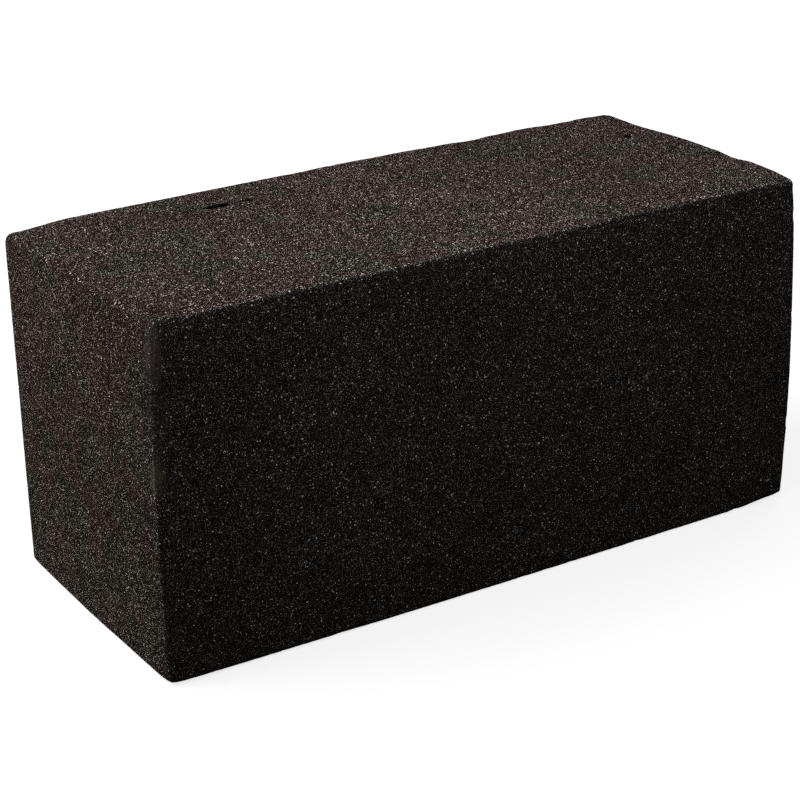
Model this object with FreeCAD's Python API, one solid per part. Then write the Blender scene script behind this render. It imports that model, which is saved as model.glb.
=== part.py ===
"""Grill brick: one block of black foamed glass for scouring griddles, standing on a long narrow face.

The block is sawn to a standard format from a foamed slab. Its faces are flat but for the right end, which
swells a little between the corners. The arrises are nearly as sharp as the saw left them, handling has
rubbed each corner round by its own amount, and three longer hollows show where an arris has crumbled.
Where the saw opened a seam of flattened cells, the top face has thin slits.

Frame: +X runs along the block to the right end, +Y goes back across it and +Z goes up. The origin is
in the middle of the base. All sizes are in millimetres.
"""

import FreeCAD, Part
import itertools
import math
import os

from FreeCAD import Vector

# The sawn block between the planes through its sharp corners: 8 by 3 1/2 by a scant 4 inches
LENGTH = 203.2
DEPTH = 88.9
HEIGHT = 99.3

# How far the right end stands outside its plane, in its middle and in the middle of its arrises
RIGHT_SWELL = 1.3

# Radius of the arrises half way between two corners
ARRIS_RADIUS = 1.0

# Radius to which each corner is rubbed; an arris gets gradually sharper from there to its middle
LEFT_FRONT_FOOT_RADIUS = 2.9
LEFT_FRONT_TOP_RADIUS = 1.8
LEFT_BACK_FOOT_RADIUS = 1.3
LEFT_BACK_TOP_RADIUS = 2.6
RIGHT_FRONT_FOOT_RADIUS = 1.5
RIGHT_FRONT_TOP_RADIUS = 2.2
RIGHT_BACK_FOOT_RADIUS = 2.5
RIGHT_BACK_TOP_RADIUS = 3.4

# Hollows along the arrises, by their distance from the right end or the back, length and depth
BACK_HOLLOW_TO_RIGHT_END = 52.0
BACK_HOLLOW_LENGTH = 16.0
BACK_HOLLOW_DEPTH = 0.5
END_HOLLOW_TO_BACK = 38.0
END_HOLLOW_LENGTH = 68.0
END_HOLLOW_DEPTH = 0.8
FOOT_HOLLOW_TO_RIGHT_END = 6.0
FOOT_HOLLOW_LENGTH = 28.0
FOOT_HOLLOW_DEPTH = 1.1

# The slits, which lie in line where a seam of flattened cells meets the top face
SEAM_TO_BACK = 16.2
SLIT_WIDTH = 1.8
SLIT_DEPTH = 2.4
LONG_SLIT_LENGTH = 7.6
LONG_SLIT_TO_LEFT_END = 53.8
SHORT_SLIT_LENGTH = 3.4
GAP_BETWEEN_SLITS = 3.6

# The lone pit in the top face, near the right end
PIT_LENGTH = 3.2
PIT_WIDTH = 2.0
PIT_DEPTH = 1.8
PIT_TO_RIGHT_END = 14.0
PIT_TO_BACK = 26.5

# A slit narrows downwards to this share of its size, and is cut from this far above the top face
SLIT_FLOOR_SHARE = 0.4
CUT_CLEARANCE = 1.0

# Places along one direction of the block: at its low side, in its middle and at its high side
LOW, MIDDLE, HIGH = -1, 0, 1

# The block's size along X, Y and Z
SIZES = Vector(LENGTH, DEPTH, HEIGHT)

CORNER_RADII = {
    (LOW, LOW, LOW): LEFT_FRONT_FOOT_RADIUS,
    (LOW, LOW, HIGH): LEFT_FRONT_TOP_RADIUS,
    (LOW, HIGH, LOW): LEFT_BACK_FOOT_RADIUS,
    (LOW, HIGH, HIGH): LEFT_BACK_TOP_RADIUS,
    (HIGH, LOW, LOW): RIGHT_FRONT_FOOT_RADIUS,
    (HIGH, LOW, HIGH): RIGHT_FRONT_TOP_RADIUS,
    (HIGH, HIGH, LOW): RIGHT_BACK_FOOT_RADIUS,
    (HIGH, HIGH, HIGH): RIGHT_BACK_TOP_RADIUS,
}

# The slope of the surface where a rounded arris has its ridge, and half way there
RIDGE_ANGLE = 45.0
RIDGE_SLOPE = math.tan(math.radians(RIDGE_ANGLE))
HALF_SLOPE = math.tan(math.radians(RIDGE_ANGLE / 2))

# Across each side of the block the surface has three zones: level in the middle, and rounded at both ends
# as far as the ridge, where the next side takes over. Three stations set out a zone, each of them a place
# with the slope of the surface there.
ZONES = (
    ((LOW, RIDGE_SLOPE), (LOW, HALF_SLOPE), (LOW, 0.0)),
    ((LOW, 0.0), (MIDDLE, 0.0), (HIGH, 0.0)),
    ((HIGH, 0.0), (HIGH, HALF_SLOPE), (HIGH, RIDGE_SLOPE)),
)
LEVEL_ZONE = ZONES[1]


def swollen(point):
    """A point of the block, measured from its middle, moved outwards with the right end. The swell is full
    in the middle of that end and of its arrises, and gone at its corners and half way along the block."""
    along, across, upwards = [2 * point[axis] / SIZES[axis] for axis in range(3)]
    swell = RIGHT_SWELL * max(along, 0) ** 2 * (1 - across**2 * upwards**2)
    return point + Vector(swell, 0, 0)


def surface_point(place, slopes):
    """The point of the surface at a place, where its normal leans by these slopes along X, Y and Z."""
    radius = CORNER_RADII.get(place, ARRIS_RADIUS)
    normal = Vector(*[side * slope for side, slope in zip(place, slopes)]).normalize()
    centre = Vector(*[side * (size / 2 - radius) for side, size in zip(place, SIZES)])
    return swollen(centre + normal * radius) + Vector(0, 0, HEIGHT / 2)


def line_poles(points):
    """The control points of the curve of the second degree through three points."""
    start, middle, end = points
    return [start, middle * 2 - (start + end) / 2, end]


def patch(points):
    """The face of the second degree through three rows of three points."""
    half_way = [line_poles(row) for row in points]
    poles = [line_poles(column) for column in zip(*half_way)]
    surface = Part.BezierSurface()
    surface.increase(2, 2)
    for row, column in itertools.product(range(3), repeat=2):
        surface.setPole(row + 1, column + 1, poles[column][row])
    return surface.toShape()


def zone_patch(axis, side, row_zone, column_zone):
    """The patch where two zones cross on one side of the block. Its normal points out of the block."""
    row_axis, column_axis = (axis + 1) % 3, (axis + 2) % 3
    points = []
    for row in row_zone[::side]:
        for column in column_zone:
            stations = {axis: (side, RIDGE_SLOPE), row_axis: row, column_axis: column}
            place, slopes = zip(*[stations[number] for number in range(3)])
            points.append(surface_point(place, slopes))
    return patch([points[:3], points[3:6], points[6:]])


def flat_base():
    """The sawn base inside its rounded arrises, which is a true plane."""
    outline = zone_patch(2, LOW, LEVEL_ZONE, LEVEL_ZONE).OuterWire
    return Part.Face(Part.Wire([edge.Curve.toShape() for edge in outline.OrderedEdges]))


def rubbed_block():
    """The block, closed to a solid from the patches of its six sides, where two zones cross in each."""
    crossings = list(itertools.product(range(3), (LOW, HIGH), ZONES, ZONES))
    crossings.remove((2, LOW, LEVEL_ZONE, LEVEL_ZONE))
    shell = Part.makeShell([zone_patch(*crossing) for crossing in crossings] + [flat_base()])
    shell.sewShape()
    return Part.makeSolid(shell)


def hollow(block, arris_point, outward, length, depth):
    """A scoop in the rounded arris near a point of the sharp one: a ball that dips into the block by this
    depth, and whose cap there has this length."""
    radius = (length**2 / 4 + depth**2) / (2 * depth)
    away = outward.normalize() * radius
    rounded_point = block.distToShape(Part.Vertex(arris_point + away))[1][0][0]
    return Part.makeSphere(radius, rounded_point + away * (1 - depth / radius))


def arris_hollows(block):
    """The hollows in the back and right arrises of the top and in the front arris of the base."""
    back_point = Vector(LENGTH / 2 - BACK_HOLLOW_TO_RIGHT_END, DEPTH / 2, HEIGHT)
    end_point = Vector(LENGTH / 2, DEPTH / 2 - END_HOLLOW_TO_BACK, HEIGHT)
    foot_point = Vector(LENGTH / 2 - FOOT_HOLLOW_TO_RIGHT_END, -DEPTH / 2, 0)
    return [
        hollow(block, back_point, Vector(0, 1, 1), BACK_HOLLOW_LENGTH, BACK_HOLLOW_DEPTH),
        hollow(block, end_point, Vector(1, 0, 1), END_HOLLOW_LENGTH, END_HOLLOW_DEPTH),
        hollow(block, foot_point, Vector(0, -1, -1), FOOT_HOLLOW_LENGTH, FOOT_HOLLOW_DEPTH),
    ]


def lens(length, width, centre):
    """A level outline of two equal arcs, pointed at both ends."""
    start, end = centre - Vector(length / 2, 0, 0), centre + Vector(length / 2, 0, 0)
    bulge = Vector(0, width / 2, 0)
    return Part.Wire([Part.Arc(start, centre + side, end).toShape() for side in (bulge, -bulge)])


def slit(length, width, depth, x, y):
    """The space of an opened cell in the top face, which narrows downwards from a lens-shaped mouth."""
    mouth_z, floor_z = HEIGHT + CUT_CLEARANCE, HEIGHT - depth
    mouth = lens(length, width, Vector(x, y, mouth_z))
    floor = lens(length * SLIT_FLOOR_SHARE, width * SLIT_FLOOR_SHARE, Vector(x, y, floor_z))
    return Part.makeLoft([mouth, floor], True, True)


def opened_cells():
    """The two slits of the seam and the lone pit."""
    seam_y = DEPTH / 2 - SEAM_TO_BACK
    long_slit_start = LONG_SLIT_TO_LEFT_END - LENGTH / 2
    short_slit_start = long_slit_start + LONG_SLIT_LENGTH + GAP_BETWEEN_SLITS
    pit_x, pit_y = LENGTH / 2 - PIT_TO_RIGHT_END, DEPTH / 2 - PIT_TO_BACK
    return [
        slit(LONG_SLIT_LENGTH, SLIT_WIDTH, SLIT_DEPTH, long_slit_start + LONG_SLIT_LENGTH / 2, seam_y),
        slit(SHORT_SLIT_LENGTH, SLIT_WIDTH, SLIT_DEPTH, short_slit_start + SHORT_SLIT_LENGTH / 2, seam_y),
        slit(PIT_LENGTH, PIT_WIDTH, PIT_DEPTH, pit_x, pit_y),
    ]


def brick():
    """The whole block."""
    block = rubbed_block()
    return block.cut(arris_hollows(block) + opened_cells()).Solids[0]


os.makedirs("parts", exist_ok=True)
brick().exportStep("parts/brick.step")
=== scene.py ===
"""Looks of the grill brick: a block of black foamed glass on a pale studio floor.

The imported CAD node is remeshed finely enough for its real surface: open gas cells, slightly uneven
sawn faces, and arrises that are still sharp in places and crumbled in others. Its material is a
procedural grain of small glassy facets. Everything is in metres, in the frame of the CAD part. Only
the tables that say so give places and sizes in millimetres.
"""

from collections import namedtuple
from itertools import product
import math

import bmesh
import bpy
import numpy as np
from mathutils import Matrix, Vector


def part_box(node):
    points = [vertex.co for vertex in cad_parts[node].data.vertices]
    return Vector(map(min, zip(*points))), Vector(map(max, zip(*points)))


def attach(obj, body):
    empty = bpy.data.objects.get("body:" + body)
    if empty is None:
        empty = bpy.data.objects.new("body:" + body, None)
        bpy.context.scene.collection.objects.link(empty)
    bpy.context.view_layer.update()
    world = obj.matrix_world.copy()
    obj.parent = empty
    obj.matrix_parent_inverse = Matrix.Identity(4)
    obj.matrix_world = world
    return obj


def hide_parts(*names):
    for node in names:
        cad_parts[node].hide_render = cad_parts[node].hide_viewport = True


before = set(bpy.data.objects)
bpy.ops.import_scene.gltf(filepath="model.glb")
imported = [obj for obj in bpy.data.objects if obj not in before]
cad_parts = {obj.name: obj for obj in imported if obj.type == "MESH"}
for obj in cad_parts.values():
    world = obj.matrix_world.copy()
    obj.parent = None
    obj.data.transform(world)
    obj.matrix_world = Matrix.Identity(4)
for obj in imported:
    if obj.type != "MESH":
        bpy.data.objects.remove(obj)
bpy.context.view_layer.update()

MM = 0.001
scene = bpy.context.scene

NODE = "brick"
LOWEST, HIGHEST = (np.array(corner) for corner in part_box(NODE))
CENTRE = (LOWEST + HIGHEST) / 2
LENGTH, DEPTH, HEIGHT = HIGHEST - LOWEST


# ---------------------------------------------------------------- sizes of the mesh

# Edge of the remeshed faces, and into how many an edge is cut within a margin of the openings
VOXEL = 0.7 * MM
OPENING_CUTS = 3
OPENING_MARGIN = 2.0 * MM
WELD_DISTANCE = 0.002 * MM

# The name of the map that is baked into, the space between its charts, and how much
# smaller the chart of the hidden base is than the others
BAKE_MAP = "OFBake"
CHART_GAP = 2 * MM
BASE_CHART_SCALE = 0.42


# ---------------------------------------------------------------- sizes of the surface

# Gas cells opened by the saw: their spacing, the distances from a cell's middle, as shares of the
# spacing, where its floor ends and where its wall ends, the share of cells that are open, the least
# depth, how much deeper the deepest are, and the seed
Cells = namedtuple("Cells", "spacing floor rim share least spread seed")
SMALL_CELLS = Cells(1.35 * MM, 0.10, 0.62, 1.0, 0.02 * MM, 0.09 * MM, 7)
LARGE_CELLS = Cells(3.4 * MM, 0.05, 0.30, 0.28, 0.15 * MM, 0.0, 27)

# Smooth noise: the size of its patches and its seed
Noise = namedtuple("Noise", "size seed")

# Unevenness of the sawn faces: two noises with the depth of their hollows
UNEVENNESS = ((Noise(9 * MM, 47), 0.05 * MM), (Noise(1.6 * MM, 48), 0.03 * MM))

# How square to an axis the surface is on the ridge of an arris, and where a sawn face begins
RIDGE_SQUARENESS, FACE_SQUARENESS = 0.80, 0.985

# Crumbling of the arrises: the noise values where it starts and where it has its full depth, and
# the share of it that a sharp stretch is spared. A sharp stretch stands out by SHARP_RISE.
CRUMBLING = Noise(4.0 * MM, 49)
CRUMBLING_START, CRUMBLING_FULL = 0.35, 0.85
CRUMBLING_DEPTH = 0.30 * MM
SHARP_SPARED = 0.7
SHARP_RISE = 0.36 * MM

# Stretches of arris still as sharp as the saw left them: middle and reach in mm, and weight
SHARP_STRETCHES = (
    ((-101.6, 20, 0), (4, 42, 4), 1.6),
    ((12, 44.4, 99.3), (34, 4, 4), 1.6),
    ((68, 44.4, 99.3), (12, 4, 4), 1.6),
    ((90, 44.4, 99.3), (8, 4, 4), 1.6),
    ((0, -44.4, 99.3), (130, 4, 4), 4.0),
    ((-101.6, -44.4, 30), (4, 4, 45), 4.0),
)

# Shallow knocks on the arrises and corners: middle, reach and push in mm
KNOCKS = (
    ((-98, 44, 99), (16, 12, 8), (0.0, -0.2, -0.85)),
    ((-101.6, 44.4, 62), (5, 5, 60), (0.25, -0.15, 0.0)),
    ((102, 26, 99), (8, 22, 8), (-0.3, 0.0, -0.75)),
    ((102, -17, 99), (8, 8, 7), (-0.2, 0.0, -0.5)),
    ((102.5, -44, 97), (10, 10, 12), (-0.35, 0.2, -0.3)),
    ((102.5, -44, 72), (5, 8, 35), (-0.25, 0.1, 0.0)),
    ((49, 44.4, 99.3), (6, 6, 5), (0.0, 0.0, -0.25)),
    ((-101.6, -44.4, 0), (6, 6, 5), (0.3, 0.3, 0.1)),
    ((89, -44.4, 0.4), (11, 6, 6), (0.0, -0.25, -0.5)),
)

# The left face leans in at its upper front corner, by the sum of two depths that fall off below the
# top, one quickly and one slowly. Both end at LEAN_END behind the front, and only move the points
# that lie within LEAN_SKIN of the left face.
LEAN_SHORT_DEPTH, LEAN_SHORT_FALL = 1.6 * MM, 7 * MM
LEAN_LONG_DEPTH, LEAN_LONG_FALL, LEAN_LONG_POWER = 1.45 * MM, 60 * MM, 1.5
LEAN_END = 32 * MM
LEAN_SKIN = 6 * MM

# The lower front corner of the right end is rubbed round, and this fades out between two depths
# behind the front
FOOT_RADIUS = 5.0 * MM
FOOT_END_X = 101.9 * MM
FOOT_FADE_START, FOOT_FADE_END = 3 * MM, 16 * MM

# Opened cells in the top face: middle along X and Y, length, width and depth, in mm
OPENINGS = (
    (-43.9, 28.25, 10.0, 2.9, 2.4),
    (-34.7, 28.45, 3.8, 1.9, 2.2),
    (89.2, 17.95, 4.4, 2.3, 1.8),
)

# An opening's width falls with this power of the distance from its middle, is ragged by this share,
# and never gets to nothing. Its wall takes up the first share of the half width, and painted shade
# shuts out all light beyond the second.
OPENING_POWER = 4
RAGGEDNESS = Noise(0.8 * MM, 67)
RAGGED_SHARE = 0.25
LEAST_HALF_WIDTH = 0.01 * MM
OPENING_WALL, OPENING_SHADE = 0.5, 0.12

# A point no further than this below the top, or in from the left end, counts as on that face
FACE_SKIN = 1.0 * MM

# The painted shade of a pit at the upper front left corner, which has no hollow in the mesh: middle
# and reach in mm
CORNER_PIT = ((-99.8, -44.0, 98.8), (1.8, 1.8, 1.8))

# Patches of the front left arris that are worn smooth: middle and reach in mm, and weight
WORN_PATCHES = (
    ((-100.3, -44.4, 91), (3.8, 6, 11), 1.4),
    ((-99.8, -44.4, 74), (3.8, 4, 20), 0.3),
    ((-100.8, -44.4, 59), (3.2, 5, 6.5), 1.2),
)
WEAR = Noise(1.3 * MM, 58)
WEAR_MEAN, WEAR_SPREAD = 0.8, 0.3

# The painted highlight beside the front arrises, a line of brighter olive grain: where it starts to
# fade and where it ends behind the front, its strength beside the left arris, and its patchiness
HIGHLIGHT_FADE_START, HIGHLIGHT_END = 0.3 * MM, 3.2 * MM
HIGHLIGHT_ON_LEFT = 0.4
HIGHLIGHT_PATCHINESS = Noise(7 * MM, 57)
HIGHLIGHT_PATCHINESS_MEAN, HIGHLIGHT_PATCHINESS_SPREAD = 0.65, 0.35


# ---------------------------------------------------------------- random fields

# Keeps the numbers of the random fields' cells positive
CELL_OFFSET = 1000.0


def smooth_step(low, high, values):
    """0 below low, 1 above high, and a smooth rise between them."""
    share = np.clip((values - low) / (high - low), 0.0, 1.0)
    return share * share * (3 - 2 * share)


def hashed(cells, seed):
    """A number from 0 to 1 for each row of whole cell numbers, always the same for the same cell.
    The large factors scatter neighbouring cells."""
    x, y, z = cells.T
    state = x * 73856093 ^ y * 19349663 ^ z * 83492791 ^ seed * 2654435761
    for shift, factor in ((13, 1274126177), (16, 668265263)):
        state = (state ^ (state >> shift)) * factor & 0x7FFFFFFF
    return (state ^ (state >> 15)) % 1000003 / 1000003


def value_noise(points, noise):
    """Smooth noise from -1 to 1."""
    scaled = points / noise.size + CELL_OFFSET
    cell = np.floor(scaled).astype(np.int64)
    share = scaled - cell
    share = share * share * (3 - 2 * share)
    total = np.zeros(len(points))
    for corner in product((0, 1), repeat=3):
        weight = np.prod(np.abs(1 - np.array(corner) - share), axis=1)
        total += weight * hashed(cell + corner, noise.seed)
    return 2 * total - 1


def nearest_cell(points, spacing, seed):
    """For each point, its distance from the middle of the nearest random cell, as a share of the
    spacing, and that cell's random number."""
    scaled = points / spacing + CELL_OFFSET
    home = np.floor(scaled).astype(np.int64)
    nearest = np.full(len(points), np.inf)
    chance = np.zeros(len(points))
    for step in product((-1, 0, 1), repeat=3):
        cell = home + step
        middle = cell + np.stack([hashed(cell, seed + axis) for axis in range(3)], axis=1)
        distance = np.linalg.norm(scaled - middle, axis=1)
        closer = distance < nearest
        nearest = np.where(closer, distance, nearest)
        chance = np.where(closer, hashed(cell, seed + 3), chance)
    return nearest, chance


def near(points, middle, reach):
    """1 in the middle, falling smoothly to 0 at this reach along each axis, both given in mm."""
    offset = (points - np.array(middle) * MM) / (np.array(reach) * MM)
    return 1 - smooth_step(0.0, 1.0, np.linalg.norm(offset, axis=1))


def patches(points, table):
    """From 0 to 1, how much of a table's weighted patches each point has."""
    total = sum(weight * near(points, middle, reach) for middle, reach, weight in table)
    return np.clip(total, 0.0, 1.0)


# ---------------------------------------------------------------- the block's mesh


def remeshed(node, name):
    """A fine and even copy of a CAD node's mesh."""
    block = bpy.data.objects.new(name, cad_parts[node].data.copy())
    scene.collection.objects.link(block)
    weld = block.modifiers.new("weld", "WELD")
    weld.merge_threshold = WELD_DISTANCE
    remesh = block.modifiers.new("remesh", "REMESH")
    remesh.mode = "VOXEL"
    remesh.voxel_size = VOXEL
    remesh.adaptivity = 0.0
    bpy.context.view_layer.update()
    evaluated = block.evaluated_get(bpy.context.evaluated_depsgraph_get())
    mesh = bpy.data.meshes.new_from_object(evaluated)
    block.modifiers.clear()
    block.data = mesh
    mesh.name = name
    return block


def beside_opening(point):
    """Whether a point of the surface is in one of the openings of the top face or near it."""
    if point.z <= HIGHEST[2] - OPENING_MARGIN:
        return False
    return any(
        abs(point.x - x * MM) < length * MM / 2 + OPENING_MARGIN
        and abs(point.y - y * MM) < width * MM / 2 + OPENING_MARGIN
        for x, y, length, width, _ in OPENINGS
    )


def refine(mesh):
    """Shorten the mesh's edges round the openings in the top face."""
    work = bmesh.new()
    work.from_mesh(mesh)
    chosen = []
    for edge in work.edges:
        start, end = edge.verts
        if beside_opening((start.co + end.co) / 2):
            chosen.append(edge)
    bmesh.ops.subdivide_edges(work, edges=chosen, cuts=OPENING_CUTS, use_grid_fill=True)
    work.to_mesh(mesh)
    work.free()


def stored(collection, name, width, kind):
    """One property of every item of a mesh's collection, with this many numbers in a row."""
    values = np.empty(len(collection) * width, kind)
    collection.foreach_get(name, values)
    return values.reshape(-1, width) if width > 1 else values


def bake_map(mesh, positions):
    """A UV map of six box-projected charts that share the unit square without overlap."""
    corners = stored(mesh.loops, "vertex_index", 1, np.int64)
    normals = stored(mesh.polygon_normals, "vector", 3, np.float64)
    totals = stored(mesh.polygons, "loop_total", 1, np.int64)
    axis = np.argmax(np.abs(normals), axis=1)
    side = normals[np.arange(len(normals)), axis] > 0
    axis, side = np.repeat(axis, totals), np.repeat(side, totals)
    point = positions[corners] - LOWEST
    wide, high = LENGTH + CHART_GAP, HEIGHT + CHART_GAP
    square = max(wide + DEPTH, 2 * high + DEPTH) + 2 * CHART_GAP
    # For each axis and side: the two axes along the chart, the place of its corner and its scale
    charts = {
        (1, False): (0, 2, 0.0, 0.0, 1.0),
        (0, False): (1, 2, wide, 0.0, 1.0),
        (1, True): (0, 2, 0.0, high, 1.0),
        (0, True): (1, 2, wide, high, 1.0),
        (2, True): (0, 1, 0.0, 2 * high, 1.0),
        (2, False): (0, 1, wide, 2 * high, BASE_CHART_SCALE),
    }
    uv = np.zeros((len(corners), 2))
    for (chart_axis, chart_side), (first, second, u, v, scale) in charts.items():
        here = (axis == chart_axis) & (side == chart_side)
        uv[here, 0] = (CHART_GAP + u + scale * point[here, first]) / square
        uv[here, 1] = (CHART_GAP + v + scale * point[here, second]) / square
    layer = mesh.uv_layers.new(name=BAKE_MAP)
    layer.data.foreach_set("uv", uv.astype(np.float32).ravel())


def store(mesh, name, values):
    """Keep a number for each vertex, for the material."""
    layer = mesh.attributes.new(name, "FLOAT", "POINT")
    layer.data.foreach_set("value", values.astype(np.float32))


# ---------------------------------------------------------------- the block's wear, painted shade and painted arris highlight


def cell_depth(points, cells):
    """How deep the opened gas cells of one kind are at each point."""
    distance, chance = nearest_cell(points, cells.spacing, cells.seed)
    hollow = (1 - smooth_step(cells.floor, cells.rim, distance)) * (chance >= 1 - cells.share)
    return hollow * (cells.least + cells.spread * chance**2)


def arris_depth(points, normals):
    """How far the arrises have crumbled at each point. It is below 0 where they are still sharp."""
    squareness = np.abs(normals).max(axis=1)
    ridge = 1 - smooth_step(RIDGE_SQUARENESS, FACE_SQUARENESS, squareness)
    crumbled = smooth_step(CRUMBLING_START, CRUMBLING_FULL, value_noise(points, CRUMBLING))
    sharp = patches(points, SHARP_STRETCHES)
    depth = crumbled * CRUMBLING_DEPTH * (1 - SHARP_SPARED * sharp) - SHARP_RISE * sharp
    return ridge * depth


def lean(points):
    """How far each point moves along X as the left face leans in."""
    below_top = HIGHEST[2] - points[:, 2]
    from_front = points[:, 1] - LOWEST[1]
    on_left = smooth_step(0.0, 1.0, 1 - (points[:, 0] - LOWEST[0]) / LEAN_SKIN)
    short = LEAN_SHORT_DEPTH * np.exp(-below_top / LEAN_SHORT_FALL)
    long = LEAN_LONG_DEPTH * np.clip(1 - below_top / LEAN_LONG_FALL, 0, 1) ** LEAN_LONG_POWER
    return (short + long) * np.clip(1 - from_front / LEAN_END, 0, 1) * on_left


def knocks(points):
    """How far each point moves for the knocks."""
    push = np.zeros_like(points)
    for middle, reach, depth in KNOCKS:
        push += near(points, middle, reach)[:, None] * np.array(depth) * MM
    return push


def rubbed_foot(points):
    """How far each point moves as the right end's lower front corner is rubbed round."""
    middle = np.array([FOOT_END_X - FOOT_RADIUS, FOOT_RADIUS])
    offset = (points[:, [0, 2]] - middle) * (1, -1)
    distance = np.linalg.norm(offset, axis=1)
    beyond = (offset.min(axis=1) > 0) & (distance > FOOT_RADIUS)
    over = np.where(beyond, 1 - FOOT_RADIUS / np.maximum(distance, FOOT_RADIUS), 0.0)
    over *= 1 - smooth_step(FOOT_FADE_START, FOOT_FADE_END, points[:, 1] - LOWEST[1])
    push = np.zeros_like(points)
    push[:, 0] = -offset[:, 0] * over
    push[:, 2] = offset[:, 1] * over
    return push


def opening(points, x, y, length, width, depth):
    """How deep a lens-shaped opening of the top face is at each point, and its painted shade there.
    """
    along = 2 * (points[:, 0] - x * MM) / (length * MM)
    ragged = 1 + RAGGED_SHARE * value_noise(points, RAGGEDNESS)
    half_width = width * MM / 2 * np.clip(1 - along**OPENING_POWER, 0.0, 1.0) * ragged
    across = np.abs(points[:, 1] - y * MM) / np.maximum(half_width, LEAST_HALF_WIDTH)
    on_top = points[:, 2] > HIGHEST[2] - FACE_SKIN
    inside = np.where(on_top, np.clip(1 - across, 0.0, 1.0), 0.0)
    sunk = smooth_step(0.0, OPENING_WALL, inside) * depth * MM
    return sunk, smooth_step(0.0, OPENING_SHADE, inside)


def weathered_with_painted_shade(points, normals):
    """The points moved by all wear, and the painted shade of the openings and the corner pit."""
    inward = cell_depth(points, SMALL_CELLS) + cell_depth(points, LARGE_CELLS)
    for noise, depth in UNEVENNESS:
        inward += (0.5 + 0.5 * value_noise(points, noise)) * depth
    inward += arris_depth(points, normals)
    moved = points - normals * inward[:, None] + knocks(points)
    moved[:, 0] += lean(points)
    shade = near(points, *CORNER_PIT)
    for mouth in OPENINGS:
        depth, darkness = opening(points, *mouth)
        moved[:, 2] -= depth
        shade = np.maximum(shade, darkness)
    moved = np.clip(moved, LOWEST, HIGHEST)
    return moved + rubbed_foot(moved), shade


def worn(points):
    """Nearly 1 where the front left arris is worn smooth."""
    return patches(points, WORN_PATCHES) * (WEAR_MEAN + WEAR_SPREAD * value_noise(points, WEAR))


def painted_arris_highlight(points):
    """The strength of the painted highlight beside the front arrises of the top and of the left
    face.
    """
    beside = 1 - smooth_step(HIGHLIGHT_FADE_START, HIGHLIGHT_END, points[:, 1] - LOWEST[1])
    on_top = points[:, 2] > HIGHEST[2] - FACE_SKIN
    on_left = points[:, 0] < LOWEST[0] + FACE_SKIN
    patchy = HIGHLIGHT_PATCHINESS_MEAN + HIGHLIGHT_PATCHINESS_SPREAD * value_noise(points, HIGHLIGHT_PATCHINESS)
    return beside * np.maximum(1.0 * on_top, HIGHLIGHT_ON_LEFT * on_left) * patchy


# ---------------------------------------------------------------- node trees


class Nodes:
    """The node tree of a material or a world, with short calls for adding nodes and wiring them."""

    def __init__(self, owner):
        self.owner = owner
        owner.use_nodes = True
        self.tree = owner.node_tree
        self.tree.nodes.clear()

    def feed(self, socket, value):
        """Wire an output to an input, or set the input to a plain value."""
        if isinstance(value, bpy.types.NodeSocket):
            self.tree.links.new(value, socket)
        else:
            socket.default_value = value

    def add(self, kind, inputs=None, **settings):
        node = self.tree.nodes.new("ShaderNode" + kind)
        for key, value in settings.items():
            setattr(node, key, value)
        for key, value in (inputs or {}).items():
            self.feed(node.inputs[key], value)
        return node

    def math(self, operation, first, second=0.0, clamp=False):
        inputs = {0: first, 1: second}
        return self.add("Math", inputs, operation=operation, use_clamp=clamp).outputs[0]

    def total(self, *values):
        """The sum of several numbers."""
        result = values[0]
        for value in values[1:]:
            result = self.math("ADD", result, value)
        return result

    def vector(self, operation, first, second):
        inputs = {0: first, "Scale" if operation == "SCALE" else 1: second}
        return self.add("VectorMath", inputs, operation=operation).outputs[0]

    def parts(self, vector):
        """The X, Y and Z of a vector."""
        return self.add("SeparateXYZ", {"Vector": vector}).outputs

    def map(self, value, from_low, from_high, to_low, to_high):
        """A number moved from one range into another, and kept inside it."""
        inputs = {"Value": value, "From Min": from_low, "From Max": from_high}
        return self.add("MapRange", {**inputs, "To Min": to_low, "To Max": to_high}).outputs[0]

    def mix(self, share, first, second):
        """From the first number at a share of 0 to the second at 1."""
        return self.map(share, 0.0, 1.0, first, second)

    def mix_colour(self, share, first, second):
        """From the first colour at a share of 0 to the second at 1."""
        node = self.add("Mix", data_type="RGBA", clamp_factor=True)
        values = {"Factor_Float": share, "A_Color": first, "B_Color": second}
        for socket in node.inputs:
            if socket.identifier in values:
                self.feed(socket, values[socket.identifier])
        return next(s for s in node.outputs if s.identifier == "Result_Color")

    def attribute(self, name):
        """A number that the mesh keeps for each vertex."""
        return self.add("Attribute", attribute_name=name).outputs["Fac"]

    def seen(self):
        """1 for what the camera sees by itself, in a reflection or through glass, and 0 for what
        lights a matt surface."""
        path = self.add("LightPath").outputs
        mirrored = self.math("ADD", path["Is Glossy Ray"], path["Is Transmission Ray"])
        return self.math("ADD", path["Is Camera Ray"], mirrored, clamp=True)

    def finished(self, output, shader):
        """The material or world, with this shader as its surface."""
        self.feed(self.add(output).inputs["Surface"], shader)
        return self.owner


# ---------------------------------------------------------------- foamed glass

# Facets and painted glints per metre, and how far a facet's normal is tilted at random
FACETS = 8500.0
PAINTED_GLINTS = 3700.0
TILT = 0.2

# A facet's brightness is the exponential of contrast times (sum of its three random numbers, less
# their mean), capped, and multiplied by a level. A grade holds the contrast, the cap and the level.
CHANCE_MEAN = 1.5
LIVELY_GRADE = (7.5, 2600.0, 0.000302)
SOFT_GRADE = (4.6, 290.0, 0.00332)
SOFT_SHARE_ON_ENDS = 0.5

# Share of the larger cells that get a painted glint, the share of these that get one on the front
# too, and the dimmest painted glint
PAINTED_GLINT_SHARE = 0.0135
FRONT_PAINTED_GLINTS = 0.75
DIMMEST_PAINTED_GLINT = 0.3

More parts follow.
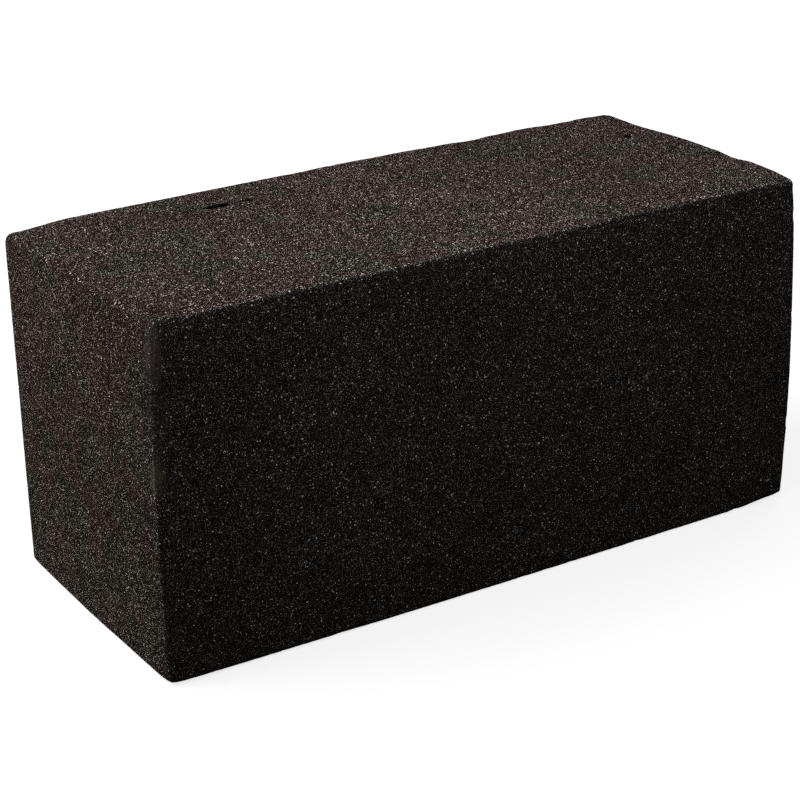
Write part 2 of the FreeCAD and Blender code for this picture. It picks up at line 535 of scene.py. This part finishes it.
# Slow changes of brightness over a face: the noise, its lowest and highest values that count, and
# by how much they dim or brighten the grain
SLOW_NOISE = {"Scale": 34.0, "Detail": 2.0}
SLOW_LOW, SLOW_HIGH = 0.3, 0.7
SLOW_SPREAD = 0.14

# How much brighter the grain is painted on the arris highlight
PAINTED_HIGHLIGHT_GAIN = 1.5

# Blotches of olive on red-brown: the noise, and the values where olive starts and where it is full
BLOTCH_NOISE = {"Scale": 75.0, "Detail": 4.0, "Roughness": 0.62}
OLIVE_START, OLIVE_FULL = 0.495, 0.585

# What is added to the blotches' noise: on the front, on the painted arris highlight, at the foot,
# falling to nothing at a height, and on the left face beside the front, falling to nothing behind it
OLIVE_ON_FRONT = 0.03
OLIVE_ON_HIGHLIGHT = 0.12
OLIVE_AT_FOOT, OLIVE_FOOT_HEIGHT = 0.06, 65 * MM
OLIVE_BESIDE_FRONT, OLIVE_FRONT_Y, OLIVE_INNER_Y = 0.05, -44 * MM, -12 * MM

# Colours between the facets, and how far the front turns to a colour of its own
RED_BROWN_BASE = (0.0108, 0.0038, 0.0032, 1)
OLIVE_BASE = (0.0058, 0.0049, 0.0014, 1)
FRONT_BASE = (0.0062, 0.0044, 0.0040, 1)
FRONT_BASE_SHARE = 0.25

# Colours of the facets on each face, and what the blotches add to those up to a brightness
TOP_FACETS = (1.135, 1.0, 0.915, 1)
LEFT_FACETS = (1.16, 1.0, 0.90, 1)
FRONT_FACETS = (1.06, 1.0, 0.96, 1)
RED_BROWN_TINT = (0.26, 0.0, -0.01, 1)
OLIVE_TINT = (-0.02, 0.0, -0.29, 1)
TINTED_UP_TO = 0.06

# Colours of the painted shade in the openings and the corner pit, and of the worn patches, which
# turn from olive to brown on the way up.
# WORN_SHARE is how much of the grain a fully worn patch covers.
PAINTED_SHADE_COLOUR = (0.0008, 0.0006, 0.0005, 1)
LOWER_WORN_COLOUR = (0.100, 0.082, 0.055, 1)
UPPER_WORN_COLOUR = (0.075, 0.057, 0.049, 1)
LOWER_WORN_TOP, UPPER_WORN_FOOT = 66 * MM, 80 * MM
WORN_SHARE = 0.85

ROUGHNESS = 0.7

# How much of the normal lies along an axis where a surface starts to count as facing that way, and
# where it counts in full
FACING_START, FACING_FULL = 0.3, 0.7


def grain(n, place, front, end):
    """The facets: their random colours, and their brightness."""
    cells = n.add("TexVoronoi", {"Vector": place, "Scale": FACETS}, voronoi_dimensions="3D")
    facets = cells.outputs["Color"]
    chances = n.add("SeparateColor", {"Color": facets}).outputs
    chance = n.math("SUBTRACT", n.total(*chances), CHANCE_MEAN)
    grades = []
    for contrast, brightest, level in (LIVELY_GRADE, SOFT_GRADE):
        grade = n.math("EXPONENT", n.math("MULTIPLY", chance, contrast))
        grades.append(n.math("MULTIPLY", n.math("MINIMUM", grade, brightest), level))
    return facets, n.mix(n.math("MAXIMUM", front, end), *grades)


def painted_glints(n, place, front):
    """The painted glints: brightness put into the colour of a few larger facets, for glints of
    light.
    """
    cells = n.add("TexVoronoi", {"Vector": place, "Scale": PAINTED_GLINTS}, voronoi_dimensions="3D")
    chances = n.add("SeparateColor", {"Color": cells.outputs["Color"]}).outputs
    threshold = n.mix(front, 1 - PAINTED_GLINT_SHARE, 1 - PAINTED_GLINT_SHARE * FRONT_PAINTED_GLINTS)
    chosen = n.math("GREATER_THAN", chances[0], threshold)
    return n.math("MULTIPLY", chosen, n.mix(chances[1], DIMMEST_PAINTED_GLINT, 1.0))


def olive_share(n, place, front, left, arris_highlight_share):
    """Where the glass is olive, from 0 to 1, rather than red-brown."""
    blotches = n.add("TexNoise", {"Vector": place, **BLOTCH_NOISE}).outputs["Fac"]
    _, y, z = n.parts(place)
    at_foot = n.map(z, 0.0, OLIVE_FOOT_HEIGHT, OLIVE_AT_FOOT, 0.0)
    beside_front = n.map(y, OLIVE_FRONT_Y, OLIVE_INNER_Y, OLIVE_BESIDE_FRONT, 0.0)
    towards_olive = n.total(
        n.math("MULTIPLY", front, OLIVE_ON_FRONT),
        n.math("MULTIPLY", arris_highlight_share, OLIVE_ON_HIGHLIGHT),
        at_foot,
        n.math("MULTIPLY", left, beside_front),
    )
    return n.map(n.math("ADD", blotches, towards_olive), OLIVE_START, OLIVE_FULL, 0.0, 1.0)


def glass_colour(n, level, olive, front, left):
    """The colour of the grain at a brightness: the glass between the facets, plus the facets."""
    base = n.mix_colour(olive, RED_BROWN_BASE, OLIVE_BASE)
    base = n.mix_colour(n.math("MULTIPLY", front, FRONT_BASE_SHARE), base, FRONT_BASE)
    facets = n.mix_colour(left, TOP_FACETS, LEFT_FACETS)
    facets = n.mix_colour(front, facets, FRONT_FACETS)
    tint = n.mix_colour(olive, RED_BROWN_TINT, OLIVE_TINT)
    tint = n.vector("SCALE", tint, n.math("MINIMUM", level, TINTED_UP_TO))
    return n.vector("ADD", base, n.vector("ADD", n.vector("SCALE", facets, level), tint))


def worn_colour(n, place):
    """The colour of the worn patches at each height."""
    height = n.parts(place)[2]
    upper = n.map(height, LOWER_WORN_TOP, UPPER_WORN_FOOT, 0.0, 1.0)
    return n.mix_colour(upper, LOWER_WORN_COLOUR, UPPER_WORN_COLOUR)


def foamed_glass():
    """Black foamed glass: a fine grain of glassy facets and open cells, in red-brown and olive, with
    painted glints, painted shade in the openings and a painted highlight along the front arrises.
    """
    n = Nodes(bpy.data.materials.new("foamed_glass"))
    place = n.add("TexCoord").outputs["Object"]
    normal = n.add("NewGeometry").outputs["Normal"]
    facing_x, facing_y, _ = n.parts(normal)
    front = n.map(facing_y, -FACING_FULL, -FACING_START, 1.0, 0.0)
    left = n.map(facing_x, -FACING_FULL, -FACING_START, 1.0, 0.0)
    on_ends = n.math("ABSOLUTE", facing_x)
    end = n.map(on_ends, FACING_START, FACING_FULL, 0.0, SOFT_SHARE_ON_ENDS)
    # The painted highlight along the front arrises, with its olive tint, from the numbers kept as
    # "edge"
    arris_highlight_share = n.attribute("edge")

    facets, level = grain(n, place, front, end)
    # Painted glints: highlights put into the base colour, as the shader has no specular
    level = n.math("MAXIMUM", level, painted_glints(n, place, front))
    slow = n.add("TexNoise", {"Vector": place, **SLOW_NOISE}).outputs["Fac"]
    slow_gain = n.map(slow, SLOW_LOW, SLOW_HIGH, 1 - SLOW_SPREAD, 1 + SLOW_SPREAD)
    level = n.math("MULTIPLY", level, slow_gain)
    # Painted highlight: the grain is brightened along the front arrises
    level = n.math("MULTIPLY", level, n.mix(arris_highlight_share, 1.0, PAINTED_HIGHLIGHT_GAIN))

    olive = olive_share(n, place, front, left, arris_highlight_share)
    colour = glass_colour(n, level, olive, front, left)
    # Painted shade in the openings and the corner pit
    colour = n.mix_colour(n.attribute("shade"), colour, PAINTED_SHADE_COLOUR)
    worn_share = n.math("MULTIPLY", n.attribute("worn"), WORN_SHARE)
    colour = n.mix_colour(worn_share, colour, worn_colour(n, place))

    tilt = n.vector("SCALE", n.vector("SUBTRACT", facets, (0.5, 0.5, 0.5)), TILT)
    tilted = n.add("VectorMath", {0: n.vector("ADD", normal, tilt)}, operation="NORMALIZE")
    shader = n.add("BsdfPrincipled", {
        "Base Color": colour,
        "Roughness": ROUGHNESS,
        "Normal": tilted.outputs[0],
        "Specular IOR Level": 0.0,
    })
    return n.finished("OutputMaterial", shader.outputs[0])


# ---------------------------------------------------------------- floor, light and camera

FLOOR_HALF_SIDE = 6.0

# The floor's colour for light that goes back up to the block, and its colour as it is seen
FLOOR_BOUNCE = (0.18, 0.18, 0.18, 1)
FLOOR_SEEN = (0.36, 0.36, 0.36, 1)

# The seen floor's own glow, which lifts it to white: its strength near the block and far from it
FLOOR_GLOW_NEAR, FLOOR_GLOW_FAR = 0.80, 1.0
GLOW_NEAR_DISTANCE, GLOW_FAR_DISTANCE = 0.2, 0.9

WHITE = (1, 1, 1, 1)
WORLD_LEVEL = 0.04

# Soft lights: the direction to them from the block, their distance and side in metres, and level
SOFTBOXES = {
    "key": ((-0.60, 0.37, 0.71), 1.20, 1.00, 1.06),
    "fill": ((0.0, -0.470, 0.866), 0.33, 0.20, 0.305),
    "rim": ((0.8, 0.5, 0.5), 1.60, 1.00, 0.22),
}

# The photo's camera, fitted to the outline of the block: the direction to it from the front left
# foot and its roll, in degrees, its distance, its steps sideways and up, and its lens in mm
CAMERA_AZIMUTH = -31.178
CAMERA_ELEVATION = 22.71
CAMERA_ROLL = -1.37
CAMERA_DISTANCE = 581.42 * MM
CAMERA_STEP_RIGHT = 68.88 * MM
CAMERA_STEP_UP = 58.59 * MM
CAMERA_LENS = 97.10
CLIP_START, CLIP_END = 10 * MM, 100.0


def studio_floor():
    """Pale floor: white to the camera and in reflections, though it sends little light back up."""
    n = Nodes(bpy.data.materials.new("studio_floor"))
    seen = n.seen()
    diffuse = n.add("BsdfDiffuse", {"Color": n.mix_colour(seen, FLOOR_BOUNCE, FLOOR_SEEN)})
    place = n.add("TexCoord").outputs["Object"]
    distance = n.add("VectorMath", {0: place}, operation="LENGTH").outputs["Value"]
    strength = n.map(
        distance, GLOW_NEAR_DISTANCE, GLOW_FAR_DISTANCE, FLOOR_GLOW_NEAR, FLOOR_GLOW_FAR
    )
    strength = n.math("MULTIPLY", seen, strength)
    glow = n.add("Emission", {"Color": WHITE, "Strength": strength})
    both = n.add("AddShader", {0: diffuse.outputs[0], 1: glow.outputs[0]})
    return n.finished("OutputMaterial", both.outputs[0])


def floor_plane():
    """The floor, level with the base of the block."""
    mesh = bpy.data.meshes.new("floor")
    sides = ((-1, -1), (1, -1), (1, 1), (-1, 1))
    corners = [(x * FLOOR_HALF_SIDE, y * FLOOR_HALF_SIDE, LOWEST[2]) for x, y in sides]
    mesh.from_pydata(corners, [], [(0, 1, 2, 3)])
    plane = bpy.data.objects.new("floor", mesh)
    scene.collection.objects.link(plane)
    mesh.materials.append(studio_floor())


def studio_world():
    """Even soft light from all around, with a white backdrop that only the camera and gloss see."""
    n = Nodes(bpy.data.worlds.new("studio"))
    strength = n.mix(n.seen(), WORLD_LEVEL, 1.0)
    background = n.add("Background", {"Color": WHITE, "Strength": strength})
    return n.finished("OutputWorld", background.outputs[0])


def softbox(name, towards, distance, side, level):
    """A square soft light that looks at the block from this direction. A face square to it renders
    at about this share of its colour."""
    lamp = bpy.data.lights.new(name, "AREA")
    lamp.shape = "SQUARE"
    lamp.size = side
    lamp.energy = level * (math.pi * distance) ** 2
    direction = Vector(towards).normalized()
    lamp_object = bpy.data.objects.new(name, lamp)
    lamp_object.rotation_euler = direction.to_track_quat("Z", "Y").to_euler()
    lamp_object.location = Vector(CENTRE) + distance * direction
    lamp_object.visible_camera = False
    scene.collection.objects.link(lamp_object)


def photo_camera():
    """The camera, which looks at the block's front left foot and then steps sideways and up."""
    azimuth, elevation, roll = map(math.radians, (CAMERA_AZIMUTH, CAMERA_ELEVATION, CAMERA_ROLL))
    back = Vector((
        math.sin(azimuth) * math.cos(elevation),
        -math.cos(azimuth) * math.cos(elevation),
        math.sin(elevation),
    ))
    level = Vector((0, 0, 1)).cross(back).normalized()
    upright = back.cross(level)
    right = math.cos(roll) * level + math.sin(roll) * upright
    up = -math.sin(roll) * level + math.cos(roll) * upright
    data = bpy.data.cameras.new("camera")
    data.lens = CAMERA_LENS
    data.clip_start, data.clip_end = CLIP_START, CLIP_END
    matrix = Matrix((right, up, back)).transposed().to_4x4()
    step = CAMERA_STEP_RIGHT * Vector((1, 0, 0)) + CAMERA_STEP_UP * up
    matrix.translation = Vector(LOWEST) + step + CAMERA_DISTANCE * back
    camera = bpy.data.objects.new("camera", data)
    camera.matrix_world = matrix
    scene.collection.objects.link(camera)
    return camera


# ---------------------------------------------------------------- the scene

block = remeshed(NODE, "block")
mesh = block.data
refine(mesh)
positions = stored(mesh.vertices, "co", 3, np.float64)
normals = stored(mesh.vertex_normals, "vector", 3, np.float64)
bake_map(mesh, positions)
moved, shade = weathered_with_painted_shade(positions, normals)
mesh.vertices.foreach_set("co", moved.astype(np.float32).ravel())
# Painted shade of the openings and the corner pit, the worn patches, and the painted arris highlight
# kept as "edge"
store(mesh, "shade", shade)
store(mesh, "worn", worn(positions))
store(mesh, "edge", painted_arris_highlight(positions))
mesh.update()
mesh.shade_smooth()
mesh.materials.clear()
mesh.materials.append(foamed_glass())
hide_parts(NODE)
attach(block, "root")

floor_plane()
scene.world = studio_world()
for name, settings in SOFTBOXES.items():
    softbox(name, *settings)
scene.camera = photo_camera()

scene.view_settings.view_transform = "Standard"
scene.cycles.use_denoising = False
